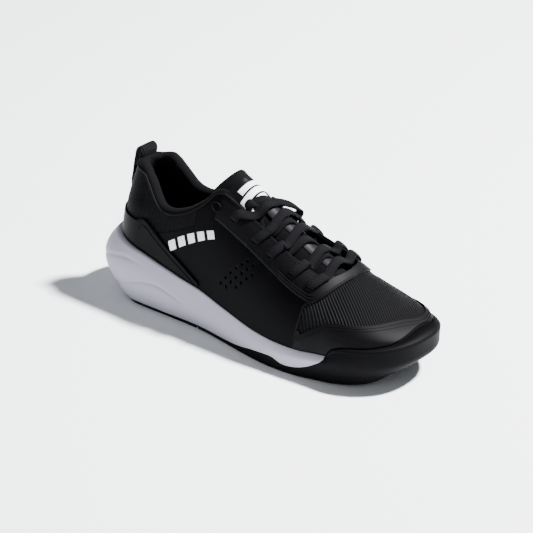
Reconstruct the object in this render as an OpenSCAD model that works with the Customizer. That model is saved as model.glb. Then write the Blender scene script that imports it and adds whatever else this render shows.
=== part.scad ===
/* [Last] */
// Length of the straight middle of the last between the heel and toe fans
mid_len = 190; // [180:1:200]
// Reach of the last behind the heel centre
heel_reach = 36; // [34:0.5:38]
// Reach of the last ahead of the toe centre
toe_reach = 60; // [57:0.5:63]
// Fullness of the toe outline, higher is squarer
toe_fullness = 2.3; // [2.1:0.05:2.5]
// Fullness of the heel outline, higher is squarer
heel_fullness = 2.1; // [2:0.05:2.3]

/* [Sole] */
// Thickness of the rubber tread
tread_t = 3.2; // [2.8:0.1:3.6]
// Depth of the tread grooves
groove_d = 1.4; // [0.8:0.1:1.6]
// Thickness of the rubber where it wraps up the side wall
wrap_t = 2.4; // [2:0.1:2.8]
// Thickness of the strobel board
board_t = 1.4; // [1:0.1:1.8]
// Thickness of the sockliner
liner_t = 4; // [3:0.5:5]

/* [Upper] */
// Thickness of the overlays laid on the upper
overlay_t = 1; // [0.7:0.1:1.2]
// Thickness of the collar padding at the heel
pad_t = 4.5; // [3:0.5:5]
// Width of the pull tab webbing
tab_w = 16; // [12:1:18]

/* [Lacing] */
// Width of the oval lace
lace_w = 7; // [5:0.5:8]
// Thickness of the oval lace
lace_h = 2.6; // [2.2:0.2:3]

/* [Hidden] */
$fn = 48;

// A perimeter position t runs from 0 at the heel centre to END at the toe centre,
// positive on the lateral side and negative on the medial side.
HEEL = 60;
TOE = 75;
END = HEEL + mid_len + TOE;
XT = mid_len;

// Smooth curve through knots [[x, y], ...] as a dense table for lookup()
function slope_at(k, i) = i <= 0 || i >= len(k) - 1 ? 0 : (k[i + 1][1] - k[i - 1][1]) / (k[i + 1][0] - k[i - 1][0]);
function blend(k, i, f) =
    let (w = k[i + 1][0] - k[i][0], a = slope_at(k, i) * w, b = slope_at(k, i + 1) * w)
    k[i][1] * (1 + f * f * (2 * f - 3)) + a * f * (1 - f) * (1 - f)
    + k[i + 1][1] * f * f * (3 - 2 * f) - b * f * f * (1 - f);
function curve(k, n = 6) = concat(
    [for (i = [0 : len(k) - 2], j = [0 : n - 1]) [k[i][0] + (k[i + 1][0] - k[i][0]) * j / n, blend(k, i, j / n)]],
    [k[len(k) - 1]]);

// Shape of the last
WL = curve([[0, 33], [40, 34], [70, 35.5], [95, 39], [120, 43], [145, 46], [170, 46], [190, 44]]);
WM = curve([[0, 33], [40, 31], [70, 30], [95, 32], [120, 36], [145, 41], [170, 45], [190, 46]]);
YC = curve([[0, 0], [120, 0], [190, 5]]);
CREST = curve([[0, 172], [40, 150], [70, 128], [95, 110], [120, 98], [150, 86], [175, 74], [190, 67]]);
FEATHER = curve([[-40, 36], [0, 32], [60, 24], [120, 17], [160, 16], [190, 18], [252, 26]]);
ROUND = curve([[0, 2.6], [60, 2.3], [120, 2.2], [190, 2.3]]);
RISE = curve([[0, 1.7], [60, 1.7], [120, 2], [190, 2.1]]);
LEAN_SIDE = curve([[30, 0], [50, 0.03], [80, 0.07], [95, 0.22], [116, 0.38]]);
LEAN_BACK = curve([[30, 0], [47, 0.02], [62, 0.075], [76, 0.125], [94, 0.19], [117, 0.3]]);
TOE_SLOPE = -0.3;
// Extra fullness of the toe box low down, by height v and by position s
SWELL_V = curve([[0, 0], [0.1, 0.02], [0.2, 0.06], [0.3, 0.1], [0.36, 0.13], [0.45, 0.11], [0.5, 0.075],
    [0.55, 0.03], [0.62, 0], [1, 0]]);
SWELL_S = curve([[225, 0], [250, 0.2], [270, 0.4], [300, 0.8], [325, 1]]);

// Levels of the sole along the perimeter
TOP_Z = curve([[0, 54], [30, 53], [60, 48], [77, 44], [104, 38], [126, 34], [148, 29], [181, 23], [205, 21],
    [230, 21], [259, 24], [285, 27], [325, 28]]);
TOP_F = curve([[0, 3], [60, 2], [180, 1], [255, 1.5], [285, 4], [325, 6]]);
WIDE_Z = curve([[0, 34], [60, 28], [118, 18], [178, 12], [215, 13], [250, 18], [285, 24], [325, 28]]);
WIDE_F = curve([[0, 15], [30, 13], [60, 8], [118, 5], [178, 4], [255, 5], [325, 5]]);
LOW_Z = curve([[0, 4], [20, 1], [40, 0], [205, 0], [245, 1], [285, 4], [325, 9]]);
LOW_F = curve([[0, -8], [30, -3], [60, 1], [118, 1], [178, 3], [215, 3], [250, 1], [285, -6], [325, -20]]);
SPLIT_Z = curve([[0, 6], [40, 3.5], [150, 3.5], [172, 5], [189, 8], [209, 10], [219, 7], [230, 8], [242, 12],
    [253, 19], [262, 27], [325, 34]]);
BUMPER_Z = curve([[126, 3.5], [150, 3.5], [172, 5], [189, 8], [209, 10], [219, 7], [230, 8], [242, 12],
    [253, 20], [262, 31], [285, 36], [325, 41]]);

// Edges of the upper's panels, as v along t
COLLAR = curve([[0, 0.42], [30, 0.416], [50, 0.41], [58, 0.396], [66, 0.366], [72, 0.342], [80, 0.328],
    [90, 0.345], [101, 0.388], [110, 0.438], [122, 0.542], [132, 0.685], [140, 0.743], [158, 0.765],
    [172, 0.765], [188, 0.74], [204, 0.72], [228, 0.72], [236, 0.76], [242, 0.94]]);
COLLAR_IN = curve([[0, 0.42], [30, 0.414], [47, 0.425], [58, 0.428], [63, 0.415], [66, 0.395], [70, 0.366],
    [75, 0.336], [80, 0.328], [90, 0.345], [101, 0.388], [110, 0.438], [122, 0.542], [132, 0.685], [140, 0.743],
    [158, 0.765], [172, 0.765], [188, 0.74], [204, 0.72], [228, 0.72], [236, 0.76], [242, 0.94]]);
MESH_LOW = curve([[0, 0.228], [56, 0.228], [65, 0.247], [76, 0.223], [98, 0.3], [110, 0.36], [120, 0.41]]);
GUARD_TOP = curve([[226, 0.11], [229, 0.2], [232, 0.18], [242, 0.283], [254, 0.4], [275, 0.47], [302, 0.545],
    [318, 0.547], [332, 0.5], [360, 0.4], [393, 0.3], [420, 0.2], [430, 0.11]]);

// Helpers on the last
function side(t) = t > END ? 1 : t < 0 ? 1 : -1;
function run(t) = t > END ? 2 * END - t : abs(t);
function sq(x) = x * x;
function clamp(x, a, b) = max(a, min(b, x));
function frame(t) =
    let (s = run(t), heel = s < HEEL, toe = s > HEEL + mid_len,
        phi = heel ? 180 - 90 * s / HEEL : toe ? 90 * (1 - (s - HEEL - mid_len) / TOE) : 90,
        cx = heel ? 0 : toe ? XT : s - HEEL,
        yc = lookup(cx, YC),
        w = side(t) < 0 ? lookup(cx, WL) + yc : lookup(cx, WM) - yc,
        nn = heel ? heel_fullness : toe_fullness,
        c = cos(phi), sn = sin(phi),
        r = pow(pow(abs(c) / (heel ? heel_reach : toe_reach), nn) + pow(abs(sn) / w, nn), -1 / nn))
    [cx, yc, c, sn * side(t), r, s];
function lean(f, z) =
    let (k = sq(f[3]))
    (lookup(z, LEAN_BACK) * (1 - k) + lookup(z, LEAN_SIDE) * k) * clamp(1 - (f[5] - HEEL) / 70, 0, 1);
function feather(f) = lookup(f[0] + f[2] * f[4], FEATHER);
function skin_point(t, v) =
    let (f = frame(t), a = 90 * v, z0 = feather(f),
        r = f[4] * pow(cos(a), 2 / lookup(f[0], ROUND)),
        h = lookup(f[0], CREST) + (f[0] >= XT ? TOE_SLOPE * f[2] * r : 0),
        z = z0 + (h - z0) * pow(sin(a), 2 / lookup(f[0], RISE)),
        q = r * (1 - lean(f, z)) + f[4] * lookup(v, SWELL_V) * lookup(f[5], SWELL_S))
    [f[0] + f[2] * q, f[1] + f[3] * q, z];
function unit(p) = p / max(norm(p), 0.000001);
// Point of the upper at (t, v), moved outward by d
function up(t, v, d) =
    let (w = clamp(v, 0.004, 0.984),
        n = unit(cross(skin_point(t + 0.5, w) - skin_point(t - 0.5, w),
            skin_point(t, w + 0.006) - skin_point(t, w - 0.003))))
    skin_point(t, w) + d * n;
// The v at which the upper reaches height z
function v_at(t, z) =
    let (f = frame(t), z0 = feather(f), h = lookup(f[0], CREST) + (f[0] >= XT ? TOE_SLOPE * f[2] * f[4] : 0))
    asin(clamp(pow(clamp((z - z0) / (h - z0), 0, 1), lookup(f[0], RISE) / 2), 0, 1)) / 90;
// Outline of the sole at height z, widened by d
function wall_out(s, z) =
    let (zb = low_z(s), zw = lookup(s, WIDE_Z), zt = max(lookup(s, TOP_Z), lookup(s, BUMPER_Z) - 2),
        fb = lookup(s, LOW_F), fw = lookup(s, WIDE_F), ft = lookup(s, TOP_F))
    z < zw ? fb + (fw - fb) * sin(90 * clamp((z - zb) / (zw - zb), 0, 1))
        : ft + (fw - ft) * cos(90 * clamp((z - zw) / max(zt - zw, 1), 0, 1));
function wall(t, z, d = 0) =
    let (f = frame(t), r = f[4] + wall_out(f[5], z) + d)
    [f[0] + f[2] * r, f[1] + f[3] * r, z];
function in_plane(t, r_off, z) =
    let (f = frame(t), r = f[4] + r_off)
    [f[0] + f[2] * r, f[1] + f[3] * r, z];

function low_z(s) = max(0, lookup(s, LOW_Z));
// Height above which an overlay on the upper shows clear of the sole
function show_z(s) = s > 257 ? lookup(s, BUMPER_Z) : lookup(s, TOP_Z);
function show_v(t) = v_at(t, show_z(run(t))) + 0.014;

// Level of the collar edge on either side
function rim_v(t) = lookup(run(t), t < 0 ? COLLAR_IN : COLLAR);

// Evenly spaced values
function steps(a, b, n) = [for (i = [0 : n]) a + (b - a) * i / n];
// Value along a knot list by its running index, for [t, v] paths
function along(k, f) =
    let (x = f * (len(k) - 1), i = min(floor(x), len(k) - 2), g = x - i)
    k[i] * (1 - g) + k[i + 1] * g;
// Grid over t values between two edge tables
function band(ts, lo, hi, nv, d) = [for (t = ts) let (s = run(t), a = lookup(s, lo), b = lookup(s, hi))
    [for (j = [0 : nv]) up(t, a + (b - a) * j / nv, d)]];
// Grid between two [t, v] paths
function ribbon(a, b, ni, nv, d) = [for (i = [0 : ni]) let (p = along(a, i / ni), q = along(b, i / ni))
    [for (j = [0 : nv]) let (w = p + (q - p) * j / nv) up(w[0], w[1], d)]];

// Solid between grid A on the outside and grid B on the inside.
// cap joins the last row across from one side to the other, ring closes the grid around.
module solid(A, B, cap = false, ring = false) {
    n = len(A) - 1;
    ja = len(A[0]);
    jb = len(B[0]);
    na = (n + 1) * ja;
    pts = concat([for (c = A) each c], [for (c = B) each c]);
    last_i = ring ? n : n - 1;
    faces = concat(
        [for (i = [0 : last_i], j = [0 : ja - 2]) let (k = (i + 1) % (n + 1), a = i * ja + j, b = k * ja + j)
            each [[a, a + 1, b + 1], [a, b + 1, b]]],
        [for (i = [0 : last_i], j = [0 : jb - 2])
            let (k = (i + 1) % (n + 1), a = na + i * jb + j, b = na + k * jb + j)
            each [[a, b, b + 1], [a, b + 1, a + 1]]],
        [for (i = [0 : last_i]) let (k = (i + 1) % (n + 1), a = i * ja, b = k * ja, c = na + i * jb, e = na + k * jb)
            each [[a, b, e], [a, e, c]]],
        cap ? [] : [for (i = [0 : last_i])
            let (k = (i + 1) % (n + 1), a = i * ja + ja - 1, b = k * ja + ja - 1,
                c = na + i * jb + jb - 1, e = na + k * jb + jb - 1)
            each [[a, e, b], [a, c, e]]],
        ring ? [] : [for (j = [0 : ja - 2]) let (a = j, c = na + j) each [[a, c, c + 1], [a, c + 1, a + 1]]],
        ring ? [] : [for (j = [0 : ja - 2]) let (a = n * ja + j, c = na + n * jb + j)
            each [[a, c + 1, c], [a, a + 1, c + 1]]],
        !cap ? [] : cap_faces(n, ja, 0, ja - 1, ring, false),
        !cap ? [] : cap_faces(n, jb, na, jb - 1, ring, true),
        !cap || ring ? [] : let (a = ja - 1, b = n * ja + ja - 1, c = na + jb - 1, e = na + n * jb + jb - 1)
            [[a, c, e], [a, e, b]]);
    polyhedron(pts, faces, 4);
}
// Strip of triangles from side to side across the last row
function cap_faces(n, cols, base, j, ring, flip) =
    let (m = ring ? (n + 1) / 2 : n / 2,
        tri = [for (i = [0 : m - 1])
            let (p = ring ? (i == 0 ? 0 : n + 1 - i) : n - i, q = ring ? n - i : n - i - 1,
                a = base + i * cols + j, b = base + (i + 1) * cols + j,
                c = base + (p % (n + 1)) * cols + j, e = base + q * cols + j)
            each concat(a == c ? [] : [[a, c, e]], b == e ? [] : [[a, e, b]])])
    flip ? [for (f = tri) [f[2], f[1], f[0]]] : tri;

// Stations around the sole, and those of the forefoot
AROUND = [for (i = [0 : 75]) 2 * END * i / 76];
FORE = [for (i = [15 : 61]) 2 * END * i / 76];

module outsole_forefoot() color("#17161a") {
    // Inside of the tray from the rim down: along the upper at the toe, along the midsole elsewhere
    inner = [for (t = FORE) let (s = run(t), zb = low_z(s) + tread_t, zt = max(lookup(s, BUMPER_Z), zb + 0.3),
            zm = lookup(s, TOP_Z) + 0.4)
        concat(
            [for (k = [0 : 2]) let (z = zt + (zm - zt) * k / 2)
                s > 257 ? up(t, v_at(t, z), k == 1 ? 2.6 : 1.5) : wall(t, zt + (zb - zt) * k / 6, -wrap_t)],
            [for (k = [3 : 6]) s > 257 ? wall(t, zm + (zb - zm) * (k - 3) / 3, -wrap_t)
                : wall(t, zt + (zb - zt) * k / 6, -wrap_t)],
            [wall(t, zb, -wrap_t - 4)])];
    outer = [for (t = FORE) let (s = run(t), zb = low_z(s) + tread_t, zt = max(lookup(s, BUMPER_Z), zb + 0.3))
        concat([for (j = [0 : 6]) wall(t, zt + (zb - zt) * j / 6)], [in_plane(t, lookup(s, LOW_F), low_z(s))])];
    solid(inner, outer, cap = true);
}
module outsole_heel() color("#17161a") {
    ts = steps(-122, 122, 40);
    rim = [for (t = ts) let (f = frame(t), r = f[4] + lookup(f[5], LOW_F)) [f[0] + f[2] * r, f[1] + f[3] * r]];
    difference() {
        linear_extrude(tread_t) polygon([for (i = [0 : len(rim) - 1]) rim[len(rim) - 1 - i]]);
        for (x = [-20 : 14 : 50])
            if (abs(x + 6) > 1)
                translate([x + 5, 0, -0.01]) linear_extrude(groove_d)
                    polygon([[0, 0], [-8, 20], [-5.5, 20], [2.5, 0], [-5.5, -20], [-8, -20]]);
    }
}
module midsole() color("#c9c8d2") {
    outer = [for (t = AROUND)
        let (s = run(t), split = lookup(s, SPLIT_Z), top = lookup(s, TOP_Z), z0 = low_z(s) + tread_t + 0.3,
            low = clamp((s < 257 ? max(split, lookup(s, BUMPER_Z)) : split) + 0.15, z0, top - 1), high = min(low + 0.3, top - 0.7))
        concat([wall(t, z0, -wrap_t - 0.6), wall(t, (z0 + low) / 2, -wrap_t - 0.6), wall(t, low, -wrap_t - 0.6)],
            [for (k = [0 : 4]) let (z = high + (top - high) * k / 4) wall(t, z, split < top - 4 ? 0 : -wrap_t - 0.6)],
            [for (k = [2 : -1 : 0]) let (v = v_at(t, top) * k / 2) k == 2 ? up(t, v, 0.3) + [0, 0, 0.01] : up(t, v, 0.3)],
            [in_plane(t, -4.5, feather(frame(t)) - 0.3 - shank_room(s))])];
    under = [for (t = AROUND) let (s = run(t), z0 = low_z(s) + tread_t + 0.3)
        [wall(t, z0, -wrap_t - 0.6), in_plane(t, lookup(s, LOW_F) - 9, z0)]];
    solid(outer, under, cap = true, ring = true);
}
// Recess under the board for the shank plate
function shank_room(s) = (s > 100 && s < 172) ? 1.7 : 0;
module shank_plate() color("#2b2b30") {
    xs = steps(48, 104, 8);
    top = [for (x = xs) [for (k = [1 : -1 : -1]) [x, 17 * k, lookup(x, FEATHER) - 0.3]]];
    low = [for (x = xs) [for (k = [1 : -1 : -1]) [x, 17 * k, lookup(x, FEATHER) - 1.6]]];
    solid(low, top);
}
module strobel_board() color("#d8d4c8") {
    top = [for (t = AROUND) let (z = feather(frame(t))) [in_plane(t, -3.6, z + board_t), in_plane(t, -8, z + board_t)]];
    low = [for (t = AROUND) let (z = feather(frame(t))) [in_plane(t, -3.6, z), in_plane(t, -8, z)]];
    solid(top, low, cap = true, ring = true);
}
module sockliner() color("#26262b") {
    a = board_t + 0.3;
    top = [for (t = AROUND) let (z = feather(frame(t)) + a)
        [in_plane(t, -3.8, z + liner_t + 1), in_plane(t, -6, z + liner_t + 1), in_plane(t, -11, z + liner_t)]];
    low = [for (t = AROUND) let (z = feather(frame(t)) + a) [in_plane(t, -3.8, z), in_plane(t, -11, z)]];
    solid(top, low, cap = true, ring = true);
}

// The toe mesh starts on a slant: low down at the side, further forward at the crest
function slant(t, v, from, reach) =
    let (s = run(t), k = clamp((v - 0.45) / 0.4, 0, 1) * clamp(1 - abs(s - from) / reach, 0, 1) * 12)
    t > END ? t - k : t < 0 ? t - k : t + k;
// Stations over the toe, symmetrical so that the two sides join across the crest
OVER_TOE = steps(229, 2 * END - 229, 28);
function over_toe(d) = [for (t = OVER_TOE) [for (j = [0 : 12]) let (v = 0.02 + 0.964 * j / 12)
    up(slant(t, v, 229, 40), v, d)]];
module toe_mesh() color("#121214") solid(over_toe(0), over_toe(-1), cap = true);
module vamp_lining() color("#303036") solid(over_toe(-2.1), over_toe(-2.9), cap = true);
module toe_puff() color("#d9d2c0") {
    // On the stations of the toe mesh, so that the layers stay parallel
    g = function (d) [for (t = OVER_TOE) if (run(t) > 272) [for (j = [0 : 7]) up(t, 0.02 + 0.964 * j / 12, d)]];
    solid(g(-1.15), g(-1.9));
}
module toe_guard() color("#1d1c20") {
    ts = steps(227, 2 * END - 227, 40);
    g = function (d) [for (t = ts) let (a = show_v(t), b = max(lookup(t, GUARD_TOP), a + 0.02))
        [for (j = [0 : 4]) up(t, a + (b - a) * j / 4, d)]];
    solid(g(0.3 + overlay_t), g(0.3));
}

// Quarters: from the back seam to the toe mesh, under the heel mesh and up to the collar
QS = concat(steps(0.4, 114.2, 14), steps(118, 228, 14));
function quarter(sgn, d) =
    [for (i = [0 : len(QS) - 1])
        let (s = sgn > 0 ? QS[i] : QS[len(QS) - 1 - i],
            b = s < 116 ? lookup(s, MESH_LOW) - 0.012 : rim_v(sgn * s))
        [for (j = [0 : 8]) let (v = 0.02 + (b - 0.02) * j / 8) up(sgn * slant(s, v, 228, 40), v, d)]];
module quarter_lateral() color("#201f24") solid(quarter(1, 0.1), quarter(1, -1));
module quarter_medial() color("#201f24") solid(quarter(-1, 0.1), quarter(-1, -1));
module quarter_lining() color("#2c2c31") {
    g = function (d) [for (t = steps(-226, 226, 56)) let (b = rim_v(t) - (run(t) < 130 ? 0.11 : 0.02))
        [for (j = [0 : 6]) up(t, 0.03 + (b - 0.03) * j / 6, d)]];
    solid(g(-2.7), g(-3.3));
}
EYE_IN = [[136, 0.725], [150, 0.755], [164, 0.762], [178, 0.75], [192, 0.73], [206, 0.715], [220, 0.715],
    [230, 0.73], [236, 0.78], [239, 0.88], [240, 0.975]];
EYE_OUT = [[134, 0.52], [150, 0.535], [166, 0.535], [182, 0.52], [197, 0.498], [212, 0.47], [224, 0.462],
    [234, 0.48], [241, 0.6], [245, 0.8], [247, 0.975]];
function flipped(k) = [for (i = [len(k) - 1 : -1 : 0]) [2 * END - k[i][0], k[i][1]]];
module eyestay() color("#232227") {
    // Each side as its own run of stations, the two meeting over the crest ahead of the throat
    side_of = function (d) ribbon(EYE_OUT, EYE_IN, 30, 4, d);
    other = function (d) ribbon(flipped(EYE_OUT), flipped(EYE_IN), 30, 4, d);
    solid(concat(side_of(0.4 + overlay_t), other(0.4 + overlay_t)), concat(side_of(0.4), other(0.4)));
}
module eyelet_backing() color("#3a3a40") {
    a = [[138, 0.6], [158, 0.62], [178, 0.6], [200, 0.58], [226, 0.58]];
    b = [[138, 0.71], [158, 0.735], [178, 0.72], [200, 0.7], [226, 0.69]];
    solid(ribbon(a, b, 16, 3, -1.5), ribbon(a, b, 16, 3, -2.2));
    ma = [for (i = [4 : -1 : 0]) [-a[i][0], a[i][1]]];
    mb = [for (i = [4 : -1 : 0]) [-b[i][0], b[i][1]]];
    solid(ribbon(ma, mb, 16, 3, -1.5), ribbon(ma, mb, 16, 3, -2.2));
}
module heel_mesh() color("#141416") {
    g = function (d) [for (t = steps(-113.6, 113.6, 42)) let (a = lookup(run(t), MESH_LOW), b = rim_v(t))
        [for (j = [0 : 5]) up(t, a + (b - a) * j / 5, d)]];
    solid(g(0.1), g(-1));
}
module heel_counter_outer() color("#2d2c33") {
    ts = steps(-124, 124, 38);
    hi = curve([[0, 0.226], [56, 0.226], [65, 0.245], [72, 0.235], [88, 0.2], [105, 0.17], [126, 0.13]]);
    g = function (d) [for (t = ts) let (a = show_v(t), b = max(lookup(run(t), hi), a + 0.02))
        [for (j = [0 : 4]) up(t, a + (b - a) * j / 4, d)]];
    solid(g(0.4 + overlay_t), g(0.4));
}
module heel_stiffener() color("#d6cfba") {
    ts = steps(-95, 95, 28);
    lo = [[0, 0.03], [400, 0.03]];
    hi = curve([[0, 0.3], [40, 0.29], [70, 0.24], [95, 0.12]]);
    solid(band(ts, lo, hi, 4, -1.4), band(ts, lo, hi, 4, -2.1));
}
// Padding of the collar, thick at the heel and thin at the throat
PAD_TAPER = curve([[0, 1], [70, 1], [100, 0.7], [125, 0.3], [140, 0.15], [160, 0.1]]);
PAD_LOW = curve([[0, 0.2], [60, 0.18], [90, 0.2], [110, 0.3], [125, 0.45], [140, 0.62], [156, 0.7]]);
function pad_d(t) = -4.2 - pad_t * lookup(run(t), PAD_TAPER);
function pad(d) = [for (t = steps(-150, 150, 44)) let (a = lookup(run(t), PAD_LOW), b = rim_v(t) - 0.012)
    [for (j = [0 : 4]) up(t, a + (b - a) * j / 4, d < 0 ? d : pad_d(t) + 0.3)]];
module collar_padding() color("#3a3a42") solid(pad(-3.9), pad(0));
module collar_lining() color("#1a1a1e") {
    // The lining covers the padding inside, rolls over the rim and ends in the outer seam
    rows = function (o) [for (t = steps(-150, 150, 44)) let (a = lookup(run(t), PAD_LOW), b = rim_v(t), d = pad_d(t) - 0.8)
        o ? [up(t, a, d), up(t, (a + b) / 2, d), up(t, b - 0.01, d), up(t, b + 0.008, d * 0.75),
            up(t, b + 0.016, d * 0.4), up(t, b + 0.011, -0.2)]
        : [up(t, a, d + 0.8), up(t, (a + b) / 2, d + 0.8), up(t, b - 0.01, d + 0.8), up(t, b - 0.001, d * 0.7),
            up(t, b + 0.006, d * 0.42), up(t, b + 0.003, -0.6)]];
    solid(rows(false), rows(true));
}

// Webbing up the heel, and the pull tab loop above it as an [x, z] path
LOOP = [[-23.6, 112.5], [-23.2, 117], [-21.6, 121], [-18.4, 122.8], [-15.2, 121.8], [-13.4, 119], [-13, 116.5]];
module webbing(path, w, h) {
    n = len(path) - 1;
    nrm = [for (i = [0 : n]) let (a = path[max(i - 1, 0)], b = path[min(i + 1, n)], t = unit(b - a)) [-t[1], t[0]]];
    outer = [for (i = [0 : n]) path[i] + nrm[i] * h];
    pts = concat(path, [for (i = [n : -1 : 0]) outer[i]]);
    translate([0, w / 2, 0]) rotate([90, 0, 0]) linear_extrude(w) polygon(pts);
}
module heel_strip() color("#101012") {
    g = function (d) [for (t = steps(-9, 9, 6)) [for (j = [0 : 8]) up(t, 0.19 + (0.4 - 0.19) * j / 8, d)]];
    solid(g(3), g(1.7));
}
module pull_tab() color("#101012") webbing(LOOP, tab_w, 1.6);

// Tongue: centre line height, half width and drop at the edges along x
TONGUE_Z = curve([[76, 127.5], [85, 121.5], [97, 115.5], [105, 110], [115, 103], [137, 91.5], [151, 83], [170, 75],
    [182, 67.5], [190, 62]]);
TONGUE_W = curve([[76, 12], [85, 11], [92, 10], [100, 12], [115, 18], [150, 22], [190, 19]]);
TONGUE_D = curve([[76, 10], [85, 10], [92, 11], [100, 15], [115, 24], [150, 28], [170, 24], [190, 18]]);
function tongue(x, q, d) =
    let (w = lookup(x, TONGUE_W), drop = lookup(x, TONGUE_D), zc = lookup(x, TONGUE_Z),
        sl = (lookup(x + 1, TONGUE_Z) - lookup(x - 1, TONGUE_Z)) / 2,
        dz = -drop * 2 * q / w,
        n = unit([-sl, -dz, 1]))
    [x - 12 * q * q * clamp((102 - x) / 26, 0, 1), w * q - 1, zc - drop * q * q] + n * d;
function tongue_grid(a, b, nx, ny, d, w = 1) =
    [for (i = [0 : nx]) [for (j = [0 : ny]) tongue(a + (b - a) * i / nx, w * (2 * j / ny - 1), d)]];
module tongue_base() color("#131316") solid(tongue_grid(98.5, 179, 16, 10, 0, 0.94), tongue_grid(98.5, 179, 16, 10, -2.5, 0.94));
module tongue_flap() color("#131316") solid(tongue_grid(76, 95, 6, 10, 0), tongue_grid(76, 95, 6, 10, -1.2));
module tongue_foam() color("#3a3a42") solid(tongue_grid(77, 94, 6, 10, -1.5, 0.85), tongue_grid(77, 94, 6, 10, -4.6, 0.75));
module tongue_lining() color("#1a1a1e") solid(tongue_grid(76, 95, 6, 10, -4.9, 0.75), tongue_grid(76, 95, 6, 10, -5.6, 0.75));
function patch_grid(a, b, w, d) = [for (i = [0 : 4]) [for (j = [0 : 4]) tongue(a + (b - a) * i / 4, w * (j / 2 - 1), d)]];
module tongue_patch() color("#e9e9ee") solid(patch_grid(81, 94.5, 0.6, 1), patch_grid(81, 94.5, 0.6, 0.4));
module lace_keeper() color("#8b8a94") solid(patch_grid(108, 122, 0.3, 1.4), patch_grid(108, 122, 0.3, 0.4));

// The lace: out of an eyelet over the edge of the stay, across the tongue, and up under the other edge
HOLE_V = [[134, 0.598], [151, 0.638], [174, 0.623], [190, 0.608], [212, 0.598], [228, 0.593]];
function hole(t, d) = up(t, lookup(abs(t), HOLE_V), d);
function thread(a, b, lift, over = true) =
    let (k = a > 0 ? 1 : -1, s = function (f) abs(a) + (abs(b) - abs(a)) * f, x = function (f) s(f) - 60)
    concat(
        over ? [hole(a, 1.2), up(k * s(0.08), lookup(abs(a), HOLE_V) + 0.055, 3), up(k * s(0.16), 0.75, 2.9)]
            : [hole(a, -4.8), up(k * s(0.12), 0.72, -4.8)],
        [tongue(x(0.33), -0.5 * k, 1.7 + lift * 0.8), tongue(x(0.5), 0, 1.7 + lift), tongue(x(0.67), 0.5 * k, 1.6 + lift * 0.3),
            up(-k * s(0.86), 0.72, -4.8), hole(b, -4.8)]);
function back(p) = [for (i = [len(p) - 1 : -1 : 0]) p[i]];
LACE = concat(
    [[122, 14.5, 95.5], [122.5, 17.5, 99.5], [118, 12, 106], [111, 2, 110.5], [104, -9, 109], [98, -16, 104.5]],
    [up(153, 0.7, 3), hole(151, 1.2), hole(151, -4.8)],
    back(thread(-181, 151, 0)), back(thread(190, -181, 2.9)), back(thread(-217, 190, 0)),
    back(thread(228, -217, 0, false)), [hole(228, 1.2), up(228, 0.65, 3), up(228, 0.73, 3)],
    [tongue(167, -0.5, 5.2), tongue(167, 0, 6), tongue(167, 0.5, 5.2)],
    [up(-228, 0.73, 3), up(-228, 0.65, 3), hole(-228, 1.2)], thread(-228, 212, 2.9, false),
    thread(212, -196, 2.9), thread(-196, 174, 0), thread(174, -162, 2.9),
    [hole(-162, 1.2), up(-161, 0.69, 3), up(-160, 0.76, 2.9), tongue(106, 0.5, 4.6), tongue(110, 0.3, 3.6)]);
module shoelace() color("#1a1a1d") tube(LACE, lace_w / 2, lace_h / 2);
module tube(path, a, b, sides = 8) {
    n = len(path) - 1;
    rings = [for (i = [0 : n])
        let (t = unit(path[min(i + 1, n)] - path[max(i - 1, 0)]), w = unit([1, 0, 0] - t[0] * t), m = cross(t, w))
        [for (j = [0 : sides - 1]) path[i] + w * a * cos(360 * j / sides) + m * b * sin(360 * j / sides)]];
    pts = [for (r = rings) each r];
    faces = concat(
        [[for (j = [0 : sides - 1]) j]],
        [[for (j = [sides - 1 : -1 : 0]) n * sides + j]],
        [for (i = [0 : n - 1], j = [0 : sides - 1])
            let (k = (j + 1) % sides, p = i * sides + j, q = i * sides + k)
            each [[p, p + sides, q + sides], [p, q + sides, q]]]);
    polyhedron(pts, faces, 4);
}
module rod(p, q, d) {
    v = q - p;
    translate(p) rotate([0, acos(v[2] / norm(v)), atan2(v[1], v[0])]) cylinder(d = d, h = norm(v));
}
module aglets() color("#2a2a2e") {
    rod(tongue(110, 0.3, 3.6), tongue(116, 0.2, 2.4), 2.6);
    rod([122, 14.5, 95.5], [125, 11.5, 92], 2.4);
}
module side_mark() color("#f2f2f5") {
    a = [[90, 0.2], [100, 0.24], [112, 0.3], [126, 0.36], [140, 0.42]];
    b = [[92, 0.23], [101, 0.28], [113, 0.34], [127, 0.4], [142, 0.46]];
    solid(ribbon(a, b, 8, 2, 0.6), ribbon(a, b, 8, 2, 0.35));
}

outsole_forefoot();
outsole_heel();
midsole();
shank_plate();
strobel_board();
sockliner();
toe_mesh();
vamp_lining();
toe_puff();
toe_guard();
quarter_lateral();
quarter_medial();
quarter_lining();
eyestay();
eyelet_backing();
heel_mesh();
heel_counter_outer();
heel_stiffener();
collar_padding();
collar_lining();
heel_strip();
pull_tab();
tongue_base();
tongue_flap();
tongue_foam();
tongue_lining();
tongue_patch();
lace_keeper();
shoelace();
aglets();
side_mark();
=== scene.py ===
import bmesh
import bpy
import numpy as np
from mathutils import Matrix, Vector


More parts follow.
